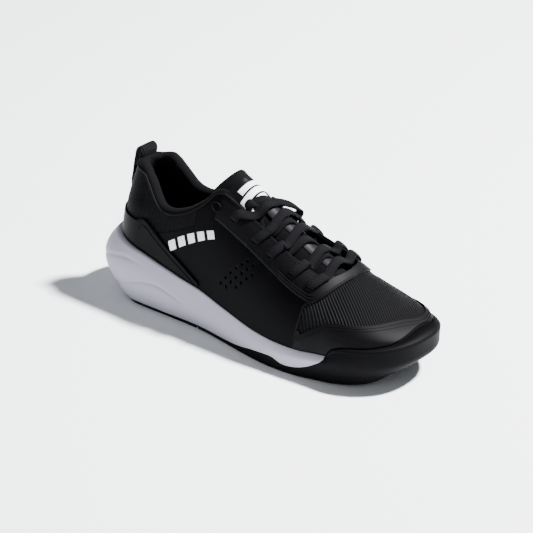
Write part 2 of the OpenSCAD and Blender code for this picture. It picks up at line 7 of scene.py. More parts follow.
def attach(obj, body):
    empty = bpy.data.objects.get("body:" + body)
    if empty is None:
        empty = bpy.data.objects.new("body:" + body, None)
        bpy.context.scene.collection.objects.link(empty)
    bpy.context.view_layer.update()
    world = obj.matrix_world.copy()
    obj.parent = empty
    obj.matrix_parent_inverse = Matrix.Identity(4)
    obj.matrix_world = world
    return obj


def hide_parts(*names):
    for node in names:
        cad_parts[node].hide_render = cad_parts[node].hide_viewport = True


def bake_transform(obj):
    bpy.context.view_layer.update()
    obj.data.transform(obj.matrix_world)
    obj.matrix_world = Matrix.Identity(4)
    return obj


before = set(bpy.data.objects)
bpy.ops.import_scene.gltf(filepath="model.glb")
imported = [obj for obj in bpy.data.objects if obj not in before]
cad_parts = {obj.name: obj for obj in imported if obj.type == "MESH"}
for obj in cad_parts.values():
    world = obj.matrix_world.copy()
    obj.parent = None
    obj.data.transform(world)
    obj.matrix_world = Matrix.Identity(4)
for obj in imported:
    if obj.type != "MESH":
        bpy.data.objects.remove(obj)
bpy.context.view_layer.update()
MM = 0.001

# ---------------------------------------------------------------- camera, lights and world
LENS, SENSOR, DISTANCE = 148.1, 36.0, 1.7
AIM = Vector((0.1024, 0.0019, 0.0515))
BACK = Vector((0.5656, -0.6985, 0.4384)).normalized()


def aim_at(obj, eye, aim):
    back = (eye - aim).normalized()
    right = Vector((0, 0, 1)).cross(back).normalized()
    up = back.cross(right)
    m = Matrix((right, up, back)).transposed().to_4x4()
    m.translation = eye
    obj.matrix_world = m


cam_data = bpy.data.cameras.new("camera")
cam_data.lens = LENS
cam_data.sensor_width = SENSOR
cam_data.clip_end = 50.0
cam = bpy.data.objects.new("camera", cam_data)
bpy.context.scene.collection.objects.link(cam)
aim_at(cam, AIM + BACK * DISTANCE, AIM)
bpy.context.scene.camera = cam


def area_light(name, place, target, size, power, colour=(1, 1, 1)):
    data = bpy.data.lights.new(name, "AREA")
    data.shape = "DISK"
    data.size = size
    data.energy = power
    data.color = colour
    ob = bpy.data.objects.new(name, data)
    bpy.context.scene.collection.objects.link(ob)
    aim_at(ob, Vector(place), Vector(target))
    return ob


area_light("key", (1.30, 1.00, 2.6), (0.1, 0, 0.04), 0.30, 580)
area_light("front_fill", (0.9, -2.4, 1.6), (0.1, 0, 0.05), 2.2, 14)
area_light("left_fill", (-2.2, -0.6, 1.8), (0.1, 0, 0.05), 1.8, 6)

world = bpy.data.worlds.new("studio")
bpy.context.scene.world = world
world.use_nodes = True
world.node_tree.nodes["Background"].inputs[0].default_value = (0.93, 0.96, 1.0, 1)
world.node_tree.nodes["Background"].inputs[1].default_value = 0.28


# ---------------------------------------------------------------- materials
def new_material(name, colour, rough, specular=0.5, sheen=0.0, coat=0.0):
    m = bpy.data.materials.new(name)
    m.use_nodes = True
    p = m.node_tree.nodes["Principled BSDF"]
    p.inputs["Base Color"].default_value = (*colour, 1)
    p.inputs["Roughness"].default_value = rough
    p.inputs["Specular IOR Level"].default_value = specular
    p.inputs["Sheen Weight"].default_value = sheen
    p.inputs["Coat Weight"].default_value = coat
    m.diffuse_color = (*colour, 1)
    return m


def node(m, kind, **values):
    n = m.node_tree.nodes.new(kind)
    for k, v in values.items():
        setattr(n, k, v)
    return n


def put(m, socket, value):
    if isinstance(value, (int, float, tuple)):
        socket.default_value = value
    else:
        m.node_tree.links.new(value, socket)


def calc(m, op, *args):
    n = node(m, "ShaderNodeMath", operation=op)
    for s, a in zip(n.inputs, args):
        put(m, s, a)
    return n.outputs[0]


def place(m):
    """Object coordinates in millimetres, as three sockets."""
    t = node(m, "ShaderNodeTexCoord")
    s = node(m, "ShaderNodeSeparateXYZ")
    put(m, s.inputs[0], t.outputs["Object"])
    return [calc(m, "MULTIPLY", s.outputs[i], 1000.0) for i in range(3)], t.outputs["Object"]


def surface_uv(m):
    """Position on the sheet itself in millimetres: along and across."""
    t = node(m, "ShaderNodeUVMap", uv_map="sheet")
    s = node(m, "ShaderNodeSeparateXYZ")
    put(m, s.inputs[0], t.outputs[0])
    return s.outputs[0], s.outputs[1], t.outputs[0]


def noise(m, vector, scale, detail=3.0, rough=0.55):
    n = node(m, "ShaderNodeTexNoise")
    put(m, n.inputs["Vector"], vector)
    n.inputs["Scale"].default_value = scale
    n.inputs["Detail"].default_value = detail
    n.inputs["Roughness"].default_value = rough
    return n.outputs["Fac"]


def wave(m, coordinate, pitch, phase=0.0):
    """0 to 1 sine along a coordinate."""
    a = calc(m, "MULTIPLY_ADD", coordinate, 6.28318 / pitch, phase)
    return calc(m, "MULTIPLY_ADD", calc(m, "SINE", a), 0.5, 0.5)


def bump(m, height, distance, strength=1.0, after=None):
    b = node(m, "ShaderNodeBump")
    b.inputs["Strength"].default_value = strength
    b.inputs["Distance"].default_value = distance
    put(m, b.inputs["Height"], height)
    if after is not None:
        put(m, b.inputs["Normal"], after)
    return b.outputs[0]


def shade(m, factor, dark, light):
    """Base colour between two colours by a factor."""
    n = node(m, "ShaderNodeMix", data_type="RGBA")
    put(m, n.inputs["Factor"], factor)
    n.inputs["A"].default_value = (*dark, 1)
    n.inputs["B"].default_value = (*light, 1)
    p = m.node_tree.nodes["Principled BSDF"]
    put(m, p.inputs["Base Color"], n.outputs["Result"])


def finish_normal(m, normal):
    put(m, m.node_tree.nodes["Principled BSDF"].inputs["Normal"], normal)


def rough_between(m, factor, low, high):
    r = calc(m, "MULTIPLY_ADD", factor, high - low, low)
    put(m, m.node_tree.nodes["Principled BSDF"].inputs["Roughness"], r)


def grained(name, colour, rough, grain=900.0, depth=0.00012, vary=0.25, specular=0.5, sheen=0.0, coat=0.0):
    """Moulded or coated surface with a fine grain and slow colour variation."""
    m = new_material(name, colour, rough, specular, sheen, coat)
    _, obj = place(m)
    slow = noise(m, obj, 35.0, 4.0)
    fine = noise(m, obj, grain, 4.0, 0.6)
    shade(m, slow, tuple(c * (1 - vary) for c in colour), tuple(c * (1 + vary) for c in colour))
    rough_between(m, slow, max(rough - 0.06, 0.05), min(rough + 0.08, 1))
    finish_normal(m, bump(m, fine, depth))
    return m


def woven(name, colour, rough, pitch_u, pitch_v, depth, light=1.9, sheen=0.25):
    """Cloth with a plain weave that follows the sheet."""
    m = new_material(name, colour, rough, 0.05, sheen)
    u, v, uv = surface_uv(m)
    a = wave(m, u, pitch_u)
    b = wave(m, v, pitch_v)
    cross = calc(m, "ADD", calc(m, "MULTIPLY", a, b),
                 calc(m, "MULTIPLY", calc(m, "SUBTRACT", 1.0, a), calc(m, "SUBTRACT", 1.0, b)))
    fuzz = noise(m, uv, 2.5, 3.0)
    h = calc(m, "MULTIPLY_ADD", fuzz, 0.4, cross)
    # Painted shade and highlight: the colour follows the weave's height, darker where the threads lie low and lighter
    # on the raised threads.
    shade(m, cross, tuple(c * 0.6 for c in colour), tuple(c * light for c in colour))
    finish_normal(m, bump(m, h, depth))
    return m


QUARTER = grained("quarter_synthetic", (0.0007, 0.00065, 0.0011), 0.56, 1500, 0.00006, 0.35, 0.035)
OVERLAY = grained("overlay_film", (0.0013, 0.0012, 0.0018), 0.56, 1800, 0.00006, 0.35, 0.07)
COUNTER = grained("heel_counter_film", (0.0010, 0.0009, 0.0014), 0.52, 1600, 0.00006, 0.35, 0.05)
RUBBER = grained("black_rubber", (0.0011, 0.0010, 0.0015), 0.6, 1200, 0.00009, 0.35, 0.05)
FOAM = grained("midsole_foam", (0.335, 0.325, 0.385), 0.6, 700, 0.00008, 0.04, 0.25)
BOARD = grained("board", (0.05, 0.048, 0.042), 0.8, 1500, 0.0001, 0.15, 0.2)
STIFF = grained("stiffener", (0.003, 0.003, 0.0034), 0.7, 1500, 0.0001, 0.15, 0.1)
PLATE = grained("shank_plate", (0.004, 0.004, 0.005), 0.35, 900, 0.00005, 0.2, 0.3)
PRINT = grained("white_print", (0.80, 0.82, 0.86), 0.5, 1600, 0.00004, 0.03, 0.3)
AGLET = grained("aglet", (0.003, 0.003, 0.004), 0.2, 600, 0.00003, 0.1, 0.4)
LINING = woven("collar_textile", (0.0013, 0.0012, 0.0018), 0.8, 0.9, 0.9, 0.00014, 1.8, 0.01)
# The inner textile is darker than the collar's textile: painted shade for the deep shadow inside the shoe.
INNER_CLOTH_PAINTED_SHADE = woven("inner_textile_painted_shade", (0.0006, 0.0006, 0.0008), 0.9, 1.1, 1.1, 0.00015, 1.5, 0.0)
TONGUE = woven("tongue_textile", (0.0010, 0.0010, 0.0013), 0.75, 1.2, 1.2, 0.00016, 2.0, 0.01)
WEBBING = woven("webbing", (0.0014, 0.0014, 0.0018), 0.6, 1.6, 1.1, 0.0003, 2.2, 0.01)
LABEL = woven("label_satin", (0.0022, 0.0021, 0.0029), 0.4, 0.7, 2.4, 0.00005, 1.35, 0.02)
# The tongue's centre strip and the lace keeper get a much lighter base colour than the other black cloths: painted
# sheen standing in for the satin's highlight.
SATIN_PAINTED_SHEEN = woven("satin", (0.0075, 0.0073, 0.0090), 0.38, 0.7, 2.4, 0.00005, 1.35, 0.03)


def rib_knit(name, colour, pitch, depth, heel):
    """Ribbed mesh: upright raised ribs with small cross threads and open pores between them."""
    m = new_material(name, colour, 0.62, 0.04, 0.0)
    (x, y, z), obj = place(m)
    if heel:
        turn = calc(m, "ARCTAN2", calc(m, "MAXIMUM", calc(m, "MULTIPLY", x, -1.0), 0.0), calc(m, "ABSOLUTE", y))
        across = calc(m, "SUBTRACT", calc(m, "MAXIMUM", x, 0.0), calc(m, "MULTIPLY", turn, 34.0))
        run_ = z
    else:
        across = calc(m, "ADD", calc(m, "MULTIPLY", x, 0.507), calc(m, "MULTIPLY", y, 0.862))
        run_ = calc(m, "SUBTRACT", calc(m, "MULTIPLY", x, 0.862), calc(m, "MULTIPLY", y, 0.507))
    wob = calc(m, "MULTIPLY", noise(m, obj, 60.0, 2.0), 0.8)
    ribs = wave(m, calc(m, "ADD", across, wob), pitch)
    sharp = calc(m, "POWER", ribs, 1.6)
    threads = wave(m, run_, 1.3)
    low = calc(m, "MULTIPLY", calc(m, "SUBTRACT", 1.0, sharp), threads)
    h = calc(m, "MULTIPLY_ADD", low, 0.35, sharp)
    # Painted shade and highlight: near black in the pores and between the ribs, lighter on the raised ribs.
    shade(m, h, tuple(k * 0.05 for k in colour), tuple(k * 5.0 for k in colour))
    finish_normal(m, bump(m, h, depth))
    return m


TOE_KNIT = rib_knit("toe_knit", (0.0011, 0.0011, 0.0012), 2.0, 0.0007, False)
HEEL_KNIT = rib_knit("heel_knit", (0.0007, 0.0007, 0.0008), 1.5, 0.0006, True)


BRAID_PITCH = 1.7


def braid(name, colour):
    """Flat braid: two crossing sets of slanted strands with a little fuzz."""
    m = new_material(name, colour, 0.65, 0.05, 0.0)
    u, v, uv = surface_uv(m)
    a = wave(m, calc(m, "ADD", u, v), BRAID_PITCH)
    b = wave(m, calc(m, "SUBTRACT", u, v), BRAID_PITCH)
    h = calc(m, "MAXIMUM", calc(m, "MULTIPLY", a, 1.0), calc(m, "MULTIPLY", b, 0.9))
    fuzz = noise(m, uv, 3.0, 3.0)
    # Painted shade and highlight: darker in the grooves between the strands, lighter on the raised strands.
    shade(m, h, tuple(k * 0.2 for k in colour), tuple(k * 3.2 for k in colour))
    finish_normal(m, bump(m, calc(m, "MULTIPLY_ADD", fuzz, 0.3, h), 0.00035))
    return m


LACE_MAT = braid("lace_braid", (0.0014, 0.0014, 0.0018))

# ---------------------------------------------------------------- floor
floor_mat = new_material("floor_paper", (0.83, 0.855, 0.88), 0.9, 0.0)
_, obj_ = place(floor_mat)
finish_normal(floor_mat, bump(floor_mat, noise(floor_mat, obj_, 400.0, 2.0), 0.00002, 0.3))
bm = bmesh.new()
bmesh.ops.create_grid(bm, x_segments=4, y_segments=4, size=12.0)
me = bpy.data.meshes.new("floor")
bm.to_mesh(me)
bm.free()
floor = bpy.data.objects.new("floor", me)
me.materials.append(floor_mat)
bpy.context.scene.collection.objects.link(floor)


# ---------------------------------------------------------------- the last
# t is the distance in mm round the shoe from the middle of the heel, positive on the lateral side, s the same without
# its sign, and v the share from the edge of the sole (0) to the crest (1). The tables repeat part.scad's.
def spline(knots, x):
    k = np.array(knots, float)
    x = np.asarray(x, float)
    X, Y = k[:, 0], k[:, 1]
    n = len(X)
    slope = np.zeros(n)
    slope[1:-1] = (Y[2:] - Y[:-2]) / (X[2:] - X[:-2])
    xx = np.clip(x, X[0], X[-1])
    i = np.clip(np.searchsorted(X, xx, side="right") - 1, 0, n - 2)
    h = X[i + 1] - X[i]
    t = (xx - X[i]) / h
    return ((2 * t**3 - 3 * t**2 + 1) * Y[i] + (t**3 - 2 * t**2 + t) * h * slope[i]
            + (-2 * t**3 + 3 * t**2) * Y[i + 1] + (t**3 - t**2) * h * slope[i + 1])


HEEL, MID, TOE = 60.0, 190.0, 75.0
END = HEEL + MID + TOE
WL = [(0, 33), (40, 34), (70, 35.5), (95, 39), (120, 43), (145, 46), (170, 46), (190, 44)]
WM = [(0, 33), (40, 31), (70, 30), (95, 32), (120, 36), (145, 41), (170, 45), (190, 46)]
YC = [(0, 0), (120, 0), (190, 5)]
CREST = [(0, 172), (40, 150), (70, 128), (95, 110), (120, 98), (150, 86), (175, 74), (190, 67)]
FEATHER = [(-40, 36), (0, 32), (60, 24), (120, 17), (160, 16), (190, 18), (252, 26)]
ROUND = [(0, 2.6), (60, 2.3), (120, 2.2), (190, 2.3)]
RISE = [(0, 1.7), (60, 1.7), (120, 2), (190, 2.1)]
LEAN_SIDE = [(30, 0), (50, 0.03), (80, 0.07), (95, 0.22), (116, 0.38)]
LEAN_BACK = [(30, 0), (47, 0.02), (62, 0.075), (76, 0.125), (94, 0.19), (117, 0.3)]
SWELL_V = [(0, 0), (0.1, 0.02), (0.2, 0.06), (0.3, 0.1), (0.36, 0.13), (0.45, 0.11), (0.5, 0.075), (0.55, 0.03),
           (0.62, 0), (1, 0)]
SWELL_S = [(225, 0), (250, 0.2), (270, 0.4), (300, 0.8), (325, 1)]
TOP_Z = [(0, 54), (30, 53), (60, 48), (77, 44), (104, 38), (126, 34), (148, 29), (181, 23), (205, 21), (230, 21),
         (259, 24), (285, 27), (325, 28)]
TOP_F = [(0, 3), (60, 2), (180, 1), (255, 1.5), (285, 4), (325, 6)]
WIDE_Z = [(0, 34), (60, 28), (118, 18), (178, 12), (215, 13), (250, 18), (285, 24), (325, 28)]
WIDE_F = [(0, 15), (30, 13), (60, 8), (118, 5), (178, 4), (255, 5), (325, 5)]
LOW_Z = [(0, 4), (20, 1), (40, 0), (205, 0), (245, 1), (285, 4), (325, 9)]
LOW_F = [(0, -8), (30, -3), (60, 1), (118, 1), (178, 3), (215, 3), (250, 1), (285, -6), (325, -20)]
SPLIT_Z = [(0, 6), (40, 3.5), (150, 3.5), (172, 5), (189, 8), (209, 10), (219, 7), (230, 8), (242, 12), (253, 19),
           (262, 27), (325, 34)]
BUMPER_Z = [(126, 3.5), (150, 3.5), (172, 5), (189, 8), (209, 10), (219, 7), (230, 8), (242, 12), (253, 20),
            (262, 31), (285, 36), (325, 41)]
COLLAR = [(0, 0.42), (30, 0.416), (50, 0.41), (58, 0.396), (66, 0.366), (72, 0.342), (80, 0.328), (90, 0.345),
          (101, 0.388), (110, 0.438), (122, 0.542), (132, 0.685), (140, 0.743), (158, 0.765), (172, 0.765),
          (188, 0.74), (204, 0.72), (228, 0.72), (236, 0.76), (242, 0.94)]
COLLAR_IN = [(0, 0.42), (30, 0.414), (47, 0.425), (58, 0.428), (63, 0.415), (66, 0.395), (70, 0.366),
             (75, 0.336)] + COLLAR[6:]
MESH_LOW = [(0, 0.228), (56, 0.228), (65, 0.247), (76, 0.223), (98, 0.3), (110, 0.36), (120, 0.41)]


def side_run(t):
    """The side, -1 lateral or 1 medial, and the distance from the heel."""
    t = np.mod(np.asarray(t, float), 2 * END)
    lateral = t <= END
    return np.where(lateral, -1.0, 1.0), np.where(lateral, t, 2 * END - t)


def frame_at(t):
    """Centre, outward direction and radius of the last's plan outline at t."""
    sy, s = side_run(t)
    heel = s < HEEL
    toe = s > HEEL + MID
    phi = np.where(heel, np.pi - (np.pi / 2) * s / HEEL,
                   np.where(toe, (np.pi / 2) * (1 - (s - HEEL - MID) / TOE), np.pi / 2))
    cx = np.where(heel, 0.0, np.where(toe, MID, s - HEEL))
    c, sn = np.cos(phi), np.sin(phi)
    yc = spline(YC, cx)
    w = np.where(sy < 0, spline(WL, cx) + yc, spline(WM, cx) - yc)
    nn = np.where(heel, 2.1, 2.3)
    r = ((np.abs(c) / np.where(heel, 36.0, 60.0))**nn + (np.abs(sn) / w)**nn)**(-1 / nn)
    return cx, yc, c, sn * sy, r, s, sn


def feather(t):
    cx, _, ex, _, R, _, _ = frame_at(t)
    return spline(FEATHER, cx + ex * R)


def skin(t, v):
    """A point on the last at t and v."""
    t, v = np.broadcast_arrays(np.asarray(t, float), np.asarray(v, float))
    cx, yc, ex, ey, R, s, sn = frame_at(t)
    z0 = spline(FEATHER, cx + ex * R)
    a = v * np.pi / 2
    r = R * np.cos(a)**(2 / spline(ROUND, cx))
    h = spline(CREST, cx) + np.where(cx >= MID, -0.3 * ex * r, 0)
    z = z0 + (h - z0) * np.sin(a)**(2 / spline(RISE, cx))
    k = sn**2
    lean = (spline(LEAN_BACK, z) * (1 - k) + spline(LEAN_SIDE, z) * k) * np.clip(1 - (s - HEEL) / 70, 0, 1)
    q = r * (1 - lean) + R * spline(SWELL_V, v) * spline(SWELL_S, s)
    return np.stack([cx + ex * q, yc + ey * q, z], -1)


def unit(p):
    return p / np.maximum(np.linalg.norm(p, axis=-1, keepdims=True), 1e-9)


def normal(t, v):
    v = np.clip(v, 0.004, 0.984)
    return unit(np.cross(skin(t + 0.5, v) - skin(t - 0.5, v), skin(t, v + 0.006) - skin(t, v - 0.003)))


def up(t, v, d=0.0):
    """A point on the last, lifted d along its normal."""
    t, v = np.broadcast_arrays(np.asarray(t, float), np.clip(np.asarray(v, float), 0.004, 0.984))
    return skin(t, v) + np.asarray(d, float)[..., None] * normal(t, v)


def v_at(t, z):
    """The share v at which the skin reaches the height z."""
    cx, _, ex, _, R, _, _ = frame_at(t)
    z0 = spline(FEATHER, cx + ex * R)
    h = spline(CREST, cx) + np.where(cx >= MID, -0.3 * ex * R, 0)
    f = np.clip((z - z0) / (h - z0), 0, 1)
    return np.arcsin(np.clip(f**(spline(RISE, cx) / 2), 0, 1)) * 2 / np.pi


def low_z(s):
    return np.maximum(0, spline(LOW_Z, s))


def wall_out(s, z):
    zb, zw = low_z(s), spline(WIDE_Z, s)
    zt = np.maximum(spline(TOP_Z, s), spline(BUMPER_Z, s) - 2)
    fb, fw, ft = spline(LOW_F, s), spline(WIDE_F, s), spline(TOP_F, s)
    lower = fb + (fw - fb) * np.sin(np.pi / 2 * np.clip((z - zb) / (zw - zb), 0, 1))
    upper = ft + (fw - ft) * np.cos(np.pi / 2 * np.clip((z - zw) / np.maximum(zt - zw, 1), 0, 1))
    return np.where(z < zw, lower, upper)


def wall(t, z, d=0.0):
    """A point on the sole's side wall at height z, d outwards."""
    cx, yc, ex, ey, R, s, _ = frame_at(t)
    r = R + wall_out(s, z) + d
    z = z + 0 * r
    return np.stack([cx + ex * r, yc + ey * r, z], -1)


def in_plane(t, off, z):
    """A point off the last's plan outline by off, at height z."""
    cx, yc, ex, ey, R, _, _ = frame_at(t)
    r = R + off
    return np.stack([cx + ex * r, yc + ey * r, z + 0 * r], -1)


def rim_v(t):
    """The collar's rim on either side."""
    sy, s = side_run(t)
    return np.where(sy > 0, spline(COLLAR_IN, s), spline(COLLAR, s))


def show_z(s):
    return np.where(s > 257, spline(BUMPER_Z, s), spline(TOP_Z, s))


def show_v(t):
    return v_at(t, show_z(side_run(t)[1])) + 0.014


# ---------------------------------------------------------------- mesh helpers
def make(name, verts, faces, mat, slot, nodes=(), body="shoe", uv=None, bevel=0.0, subdiv=0, ride=True):
    me = bpy.data.meshes.new(name)
    me.from_pydata([tuple(p * MM) for p in verts], [], faces)
    me.validate()
    if uv is not None:
        layer = me.uv_layers.new(name="sheet")
        idx = np.zeros(len(me.loops), int)
        me.loops.foreach_get("vertex_index", idx)
        layer.data.foreach_set("uv", np.asarray(uv, float)[idx].astype(np.float32).ravel())
    bm = bmesh.new()
    bm.from_mesh(me)
    bmesh.ops.recalc_face_normals(bm, faces=bm.faces)
    bm.to_mesh(me)
    bm.free()
    ob = bpy.data.objects.new(name, me)
    me.materials.append(mat)
    bpy.context.scene.collection.objects.link(ob)
    if bevel:
        b = ob.modifiers.new("edge", "BEVEL")
        b.width = bevel * MM
        b.segments = 2
        b.limit_method = "ANGLE"
        b.angle_limit = 0.9
    if subdiv:
        s = ob.modifiers.new("smooth", "SUBSURF")
        s.levels = s.render_levels = subdiv
    if bevel or subdiv:
        bake(ob)
    ob.data.polygons.foreach_set("use_smooth", [True] * len(ob.data.polygons))
    if nodes:
        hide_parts(*nodes)
    if ride:
        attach(ob, body)
    return ob


def bake(ob):
    """Applies an object's modifiers to its mesh."""
    dg = bpy.context.evaluated_depsgraph_get()
    dg.update()
    new = bpy.data.meshes.new_from_object(ob.evaluated_get(dg), preserve_all_data_layers=True, depsgraph=dg)
    ob.modifiers.clear()
    ob.data = new


def shell(name, A, B, mat, slot, nodes=(), cap=False, ring=False, **more):
    """Closed solid between grid A and grid B. cap joins the last row from side to side."""
    n, ja, jb = len(A), A.shape[1], B.shape[1]
    verts = np.concatenate([A.reshape(-1, 3), B.reshape(-1, 3)])
    na = n * ja
    faces = []
    last = n if ring else n - 1
    a = lambda i, j: (i % n) * ja + j
    b = lambda i, j: na + (i % n) * jb + j
    for i in range(last):
        for j in range(ja - 1):
            faces.append((a(i, j), a(i + 1, j), a(i + 1, j + 1), a(i, j + 1)))
        for j in range(jb - 1):
            faces.append((b(i, j), b(i, j + 1), b(i + 1, j + 1), b(i + 1, j)))
        faces.append((a(i, 0), b(i, 0), b(i + 1, 0), a(i + 1, 0)))
        if not cap:
            faces.append((a(i, ja - 1), a(i + 1, ja - 1), b(i + 1, jb - 1), b(i, jb - 1)))
    if not ring:
        for j in range(ja - 1):
            faces.append((a(0, j), a(0, j + 1), b(0, j + 1), b(0, j)))
            faces.append((a(n - 1, j), b(n - 1, j), b(n - 1, j + 1), a(n - 1, j + 1)))
    if cap:
        half = n // 2
        for f, jj, rev in ((a, ja - 1, False), (b, jb - 1, True)):
            for i in range(half):
                p = (n - i) % n if ring else n - 1 - i
                q = n - 1 - i if ring else n - 2 - i
                face = [f(i, jj), f(i + 1, jj), f(q, jj), f(p, jj)]
                face = list(dict.fromkeys(face))
                if len(face) > 2:
                    faces.append(tuple(face[::-1] if rev else face))
        if not ring:
            faces.append((a(0, ja - 1), b(0, jb - 1), b(n - 1, jb - 1), a(n - 1, ja - 1)))
    mid = ja // 2
    ulen = np.concatenate([[0], np.cumsum(np.linalg.norm(np.diff(A[:, mid], axis=0), axis=-1))])
    vlen = np.concatenate([np.zeros((n, 1)), np.cumsum(np.linalg.norm(np.diff(A, axis=1), axis=-1), axis=1)], axis=1)
    uva = np.stack([np.repeat(ulen[:, None], ja, 1), vlen], -1).reshape(-1, 2)
    vb = vlen if ja == jb else np.tile(np.linspace(0, vlen.mean(), jb), (n, 1))
    uvb = np.stack([np.repeat(ulen[:, None], jb, 1), vb[:, :jb]], -1).reshape(-1, 2)
    return make(name, verts, faces, mat, slot, nodes, uv=np.concatenate([uva, uvb]), **more)


def band(ts, lo, hi, nv, d):
    """Grid on the last between the edges lo and hi, d above it."""
    f = np.linspace(0, 1, nv + 1)[None, :]
    v = lo[:, None] + (hi - lo)[:, None] * f
    return up(np.repeat(ts[:, None], nv + 1, 1), v, d if np.ndim(d) == 0 else d[:, None])


def along(path, n):
    """n + 1 smooth stations along a [t, v] path."""
    k = np.array(path, float)
    i = np.arange(len(k))
    x = np.linspace(0, len(k) - 1, n + 1)
    return np.stack([spline(list(zip(i, k[:, 0])), x), spline(list(zip(i, k[:, 1])), x)], -1)


def ribbon(a, b, ni, nj, d):
    """Grid on the last between two [t, v] paths."""
    p, q = along(a, ni)[:, None], along(b, ni)[:, None]
    f = np.linspace(0, 1, nj + 1)[None, :, None]
    w = p + (q - p) * f
    return up(w[..., 0], w[..., 1], d)


def tube(name, P, r, mat, slot, nodes=(), sides=8, flat=1.0, normals=None, square=1.0, **more):
    """Swept tube along points P. flat squeezes it along the given normals."""
    P = np.asarray(P, float)
    n = len(P)
    T = unit(np.gradient(P, axis=0))
    N = np.zeros_like(P) + np.array([0, 0, 1.0]) if normals is None else np.asarray(normals, float)
    N = unit(N - (N * T).sum(-1, keepdims=True) * T)
    W = np.cross(T, N)
    r = np.broadcast_to(np.asarray(r, float), (n,))
    ang = np.linspace(0, 2 * np.pi, sides, endpoint=False)
    ca, sa = np.cos(ang), np.sin(ang)
    ca, sa = np.sign(ca) * np.abs(ca)**square, np.sign(sa) * np.abs(sa)**square
    ring = (P[:, None] + W[:, None] * (r[:, None] * ca)[..., None] + N[:, None] * (r[:, None] * sa * flat)[..., None])
    verts = ring.reshape(-1, 3)
    faces = []
    for i in range(n - 1):
        for j in range(sides):
            k = (j + 1) % sides
            faces.append((i * sides + j, i * sides + k, (i + 1) * sides + k, (i + 1) * sides + j))
    faces.append(tuple(range(sides))[::-1])
    faces.append(tuple((n - 1) * sides + j for j in range(sides)))
    L = np.concatenate([[0], np.cumsum(np.linalg.norm(np.diff(P, axis=0), axis=-1))])
    uv = np.stack([np.repeat(L, sides), np.tile(ang * float(r.mean()), n)], -1)
    return make(name, verts, faces, mat, slot, nodes, uv=uv, **more)


def stitches(name, P, N, mat, slot, pitch=2.4, length=1.6, r=0.28, **more):
    """A row of thread stitches lying on a surface along points P with normals N."""
    L = np.concatenate([[0], np.cumsum(np.linalg.norm(np.diff(P, axis=0), axis=-1))])
    verts, faces = [], []
    at = lambda x: np.array([np.interp(x, L, P[:, k]) for k in range(3)])
    nt = lambda x: np.array([np.interp(x, L, N[:, k]) for k in range(3)])
    x = pitch / 2
    while x < L[-1] - pitch / 2:
        p, q = at(x - length / 2), at(x + length / 2)
        t = unit(q - p)
        m = unit(nt(x) - (nt(x) @ t) * t)
        w = np.cross(t, m)
        base = len(verts)
        for f, k in ((0, 0.25), (0.2, 0.9), (0.5, 1.1), (0.8, 0.9), (1, 0.25)):
            c = p + (q - p) * f + m * (0.0 if f in (0, 1) else r * 0.5)
            for a in np.linspace(0, 2 * np.pi, 6, endpoint=False):
                verts.append(c + (w * np.cos(a) + m * np.sin(a)) * r * k)
        for i in range(4):
            for j in range(6):
                k2 = (j + 1) % 6
                faces.append((base + i * 6 + j, base + i * 6 + k2, base + (i + 1) * 6 + k2, base + (i + 1) * 6 + j))
        faces.append(tuple(base + j for j in range(6))[::-1])
        faces.append(tuple(base + 24 + j for j in range(6)))
        x += pitch
    return make(name, np.array(verts), faces, mat, slot, **more)


# ---------------------------------------------------------------- sole
AROUND = np.linspace(0, 2 * END, 301)[:-1]
S_AR = side_run(AROUND)[1]


def build_midsole():
    t, s = AROUND, S_AR
    split, top, z0 = spline(SPLIT_Z, s), spline(TOP_Z, s), low_z(s) + 3.5
    low = np.clip(split - 0.15, z0, top - 1)
    high = np.minimum(low + 0.3, top - 0.7)
    out = np.where(split < top - 1, 0.0, -2.7)
    rows = [wall(t, z0, -2.7), wall(t, (z0 + low) / 2, -2.7), wall(t, low, -2.7)]
    crease = spline([(30, 10), (50, 19), (64, 23.7), (79, 26.4), (90, 25.4), (110, 19), (125, 12)], s)
    upper = spline([(8, 27), (30, 36), (48, 41), (60, 40), (80, 36), (120, 30)], s)
    for k in np.linspace(0, 1, 44):
        z = high + (top - 1.0 - high) * k
        cut = (1.0 * np.exp(-((z - crease) / 1.1)**2) * np.clip((s - 30) / 12, 0, 1) * np.clip((118 - s) / 18, 0, 1)
               + 0.7 * np.exp(-((z - upper) / 1.2)**2) * np.clip((s - 6) / 12, 0, 1) * np.clip((70 - s) / 16, 0, 1))
        bulge = 0.8 * np.clip((crease - z) / 6, 0, 1) * np.clip((s - 30) / 20, 0, 1) * np.clip((118 - s) / 25, 0, 1)
        rows.append(wall(t, z, out - cut + bulge))
    lip = wall(t, top, out)
    inner = up(t, v_at(t, top), 0.3)
    rows.append(lip * 0.75 + inner * 0.25 + [0, 0, -0.15])
    rows.append(lip * 0.4 + inner * 0.6 + [0, 0, 0.15])
    v = v_at(t, top)
    rows += [inner, up(t, v * 0.5, 0.3), up(t, v * 0.0, 0.3)]
    rows.append(in_plane(t, -4.5, feather(t) - 0.3))
    A = np.stack(rows, 1)
    B = np.stack([wall(t, z0, -2.7), in_plane(t, spline(LOW_F, s) - 9, z0)], 1)
    return shell("midsole_foam", A, B, FOAM, "foam_grey", ["midsole"], cap=True, ring=True)


